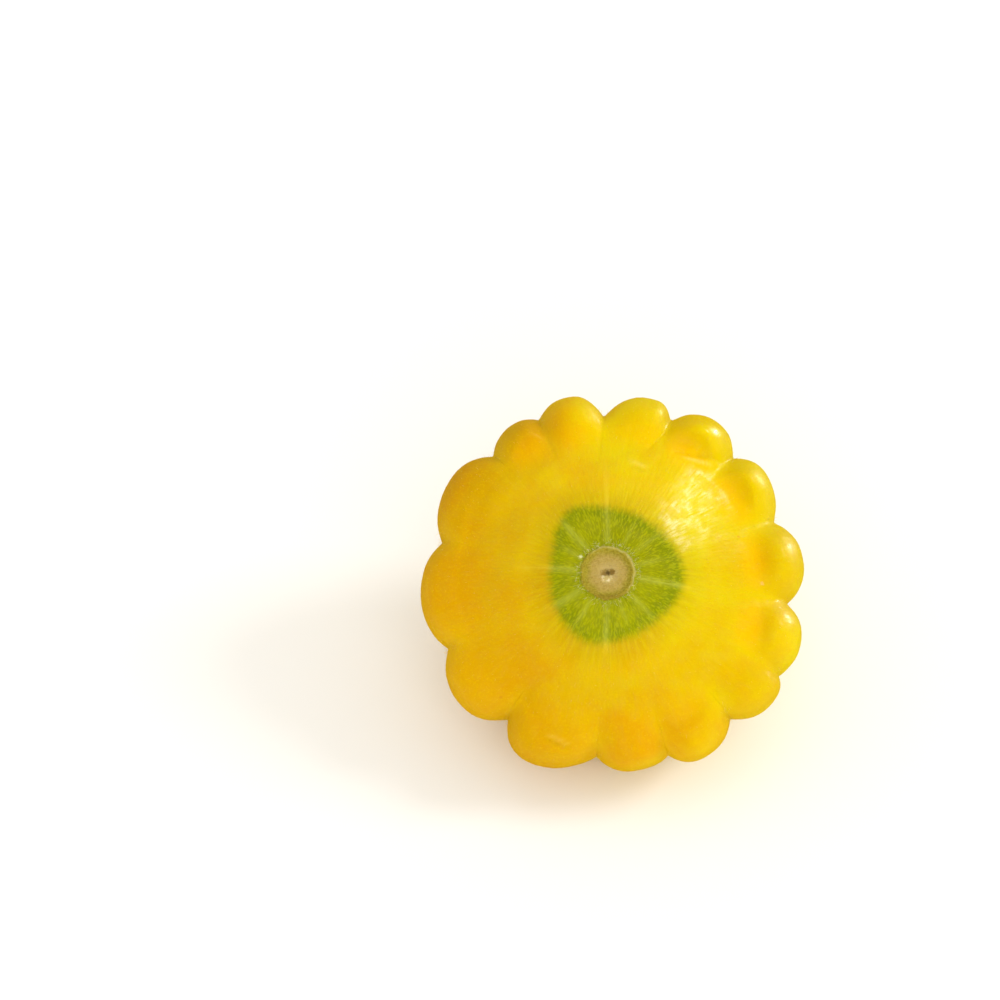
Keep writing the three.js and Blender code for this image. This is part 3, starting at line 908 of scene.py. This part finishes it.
# %% Gloss and bumps of the stub
stub.settings(Base_Color=stub.blend(cut_face, side, face))
stub_gloss = stub.maths("MULTIPLY_ADD", cut_face, 0.3, 0.42)
stub.settings(Roughness=stub.maths("ADD", stub_gloss, stub.step(felt, 0.3, 0.7, 0.14)))
stub.settings(Subsurface_Weight=0.1, Subsurface_Radius=(0.6, 0.8, 0.15), Subsurface_Scale=0.001)
side_height = stub.maths("MULTIPLY", side_fibres, 0.25)
face_height = stub.maths("MULTIPLY", stub.maths("MULTIPLY", stub.maths("ADD", fan, felt), cut_face), 0.5)
stub.bumps(stub.maths("ADD", side_height, face_height))
stem_stub.data.materials.append(stub.material)
print("nodes in the stub's finish:", len(stub.tree.nodes))

# %% [markdown]
# ## The finish of the hairs
# Each hair is dry and nearly clear, so it takes its colour from the light around it. Glass would be slow and
# noisy at this size: a pale straw colour that changes a little from hair to hair does the same job.

# %% Dry hairs
def dry_hair(name, pale, dark):
    hair = Finish(name)
    tone = hair.noise(hair.read("drawn", "Vector"), 0.9)
    hair.settings(Base_Color=hair.blend(hair.step(tone, 0.35, 0.65), pale, dark))
    hair.settings(Roughness=0.45, Subsurface_Weight=0.3, Subsurface_Scale=0.0003)
    return hair.material


pale_hair = dry_hair("pale_hair", colour(255, 250, 190), colour(240, 226, 130))
skin_hair = dry_hair("skin_hair", colour(255, 232, 130), colour(246, 206, 70))
for piece in (scar_hairs, stub_bristles):
    piece.data.materials.append(pale_hair)
for piece in (notch_hairs, skin_down):
    piece.data.materials.append(skin_hair)
print("finishes:", [material.name for material in bpy.data.materials])

# %% [markdown]
# ## A table to lie on
# The fruit lies on a plain white table. A sheet the size of a desk would show its edges in a low view, so the
# table is one face six metres across. Its white is a shade under full, so that it doesn't glare.

# %% The table
HALF_TABLE = 3.0
corners = [(HALF_TABLE * x, HALF_TABLE * y, 0) for x, y in ((-1, -1), (1, -1), (1, 1), (-1, 1))]
table_mesh = bpy.data.meshes.new("table")
table_mesh.from_pydata(corners, [], [(0, 1, 2, 3)])
table = bpy.data.objects.new("table", table_mesh)
bpy.context.collection.objects.link(table)
table.visible_glossy = False
white = Finish("table_white")
white.settings(Base_Color=(0.92, 0.92, 0.92, 1), Roughness=0.9, Specular_IOR_Level=0.1)
table_mesh.materials.append(white.material)
print("table, m:", 2 * HALF_TABLE, "by", 2 * HALF_TABLE)

# %% [markdown]
# ## The light
# Most of the light is broad and even. Several soft lamps could give it, but a white world does so with no
# edges or hot spots; a window behind the fruit's right shoulder and a fill from the front then shape it. Wax
# makes one trouble: it mirrors a white room as a milky veil over the colour. So the rays of the gloss see a
# dim golden room instead, as if more ripe fruit lay about, and neither the table nor the even lamps show in
# it. Two panes that only the gloss sees put the highlights where they belong.

# %% A white room that is golden in the gloss
FILL = 0.9
ROOM_LIGHT = (FILL, 0.965 * FILL, 0.88 * FILL, 1)
ROOM_BEHIND = (1, 1, 1, 1)
ROOM_IN_GLOSS = (0.7, 0.45, 0.0, 1)
world = bpy.data.worlds.new("white_room")
bpy.context.scene.world = world
world.use_nodes = True
room = world.node_tree
rays = room.nodes.new("ShaderNodeLightPath")


def room_for(kind, special):
    """A choice of colour for the room that gives rays of one kind the special colour."""
    choice = room.nodes.new("ShaderNodeMix")
    choice.data_type = "RGBA"
    choice.inputs[7].default_value = special
    room.links.new(rays.outputs[kind], choice.inputs["Factor"])
    return choice


behind = room_for("Is Camera Ray", ROOM_BEHIND)
behind.inputs[6].default_value = ROOM_LIGHT
glossy = room_for("Is Glossy Ray", ROOM_IN_GLOSS)
room.links.new(behind.outputs[2], glossy.inputs[6])
room.links.new(glossy.outputs[2], room.nodes["Background"].inputs["Color"])
bpy.context.scene.view_settings.view_transform = "Standard"
print("nodes in the room:", len(room.nodes))

# %% The window
WHITE, WARM_WHITE, SKY_WHITE = (1.0, 1.0, 1.0), (1.0, 0.98, 0.94), (0.78, 0.87, 1.0)


def add_light(name, come_from, across, strength, tint):
    """Even light from one direction, as from a bright patch of wall `across` degrees wide."""
    shine = bpy.data.lights.new(name, "SUN")
    shine.angle, shine.energy, shine.color = math.radians(across), strength, tint
    lamp = bpy.data.objects.new(name, shine)
    lamp.rotation_euler = Vector(come_from).to_track_quat("Z", "Y").to_euler()
    lamp.visible_glossy = False
    bpy.context.collection.objects.link(lamp)


add_light("window", (0.8, 0.18, 0.57), 20, 1.0, WHITE)
print("lamps:", len(bpy.data.lights))

# %% Two panes for the highlights
middle = (cad_low + cad_high) / 2


def add_pane(name, come_from, wide, tall, energy):
    """A pane a metre away that is seen only in the gloss."""
    pane = bpy.data.lights.new(name, "AREA")
    pane.shape, pane.size, pane.size_y, pane.energy = "RECTANGLE", wide, tall, energy
    pane.color = SKY_WHITE
    lamp = bpy.data.objects.new(name, pane)
    toward = Vector(come_from).normalized()
    lamp.location = middle + toward
    lamp.rotation_euler = toward.to_track_quat("Z", "Y").to_euler()
    lamp.visible_diffuse = False
    bpy.context.collection.objects.link(lamp)


add_pane("high_pane", (0.59, 0.27, 0.76), 0.32, 0.13, 3.4)
add_pane("low_pane", (0.75, 0.62, 0.2), 0.26, 0.36, 7)
print("lamps:", len(bpy.data.lights))

# %% A fill from the front
add_light("front_fill", (0.12, -0.85, 0.48), 60, 1.15, WARM_WHITE)
print("lamps:", len(bpy.data.lights))

# %% [markdown]
# ## The camera
# The camera looks down on the tipped fruit from the front, close enough to have some perspective. The frame
# is square and the fruit sits right of and below its middle, so the camera aims to the left of the fruit and
# above it, rather than shifting its lens.

# %% A camera and its lens
ELEVATION, AZIMUTH = math.radians(49.4), math.radians(0.67)
DISTANCE = 0.656
# the width of the frame at the fruit, in metres, and on the sensor, in millimetres
FRAME_WIDTH, SENSOR = 0.2298, 36
# where the fruit's middle falls, counted over a picture of a thousand dots by a thousand
PICTURE, FRUIT_ACROSS, FRUIT_DOWN = 1000, 615.8, 583
lens = bpy.data.cameras.new("camera")
lens.sensor_width = SENSOR
lens.lens = SENSOR * DISTANCE / FRAME_WIDTH
camera = bpy.data.objects.new("camera", lens)
bpy.context.collection.objects.link(camera)
bpy.context.scene.camera = camera
print("lens, mm:", round(lens.lens, 1))

# %% Aim the camera
level = math.cos(ELEVATION)
back = Vector((math.sin(AZIMUTH) * level, -math.cos(AZIMUTH) * level, math.sin(ELEVATION)))
right = Vector((math.cos(AZIMUTH), math.sin(AZIMUTH), 0))
up = back.cross(right)
beside = right * (PICTURE / 2 - FRUIT_ACROSS) + up * (FRUIT_DOWN - PICTURE / 2)
camera.location = middle + back * DISTANCE
aim = middle + beside * FRAME_WIDTH / PICTURE
camera.rotation_euler = (aim - camera.location).to_track_quat("-Z", "Y").to_euler()
print("camera at, mm:", [round(1000 * value) for value in camera.location])
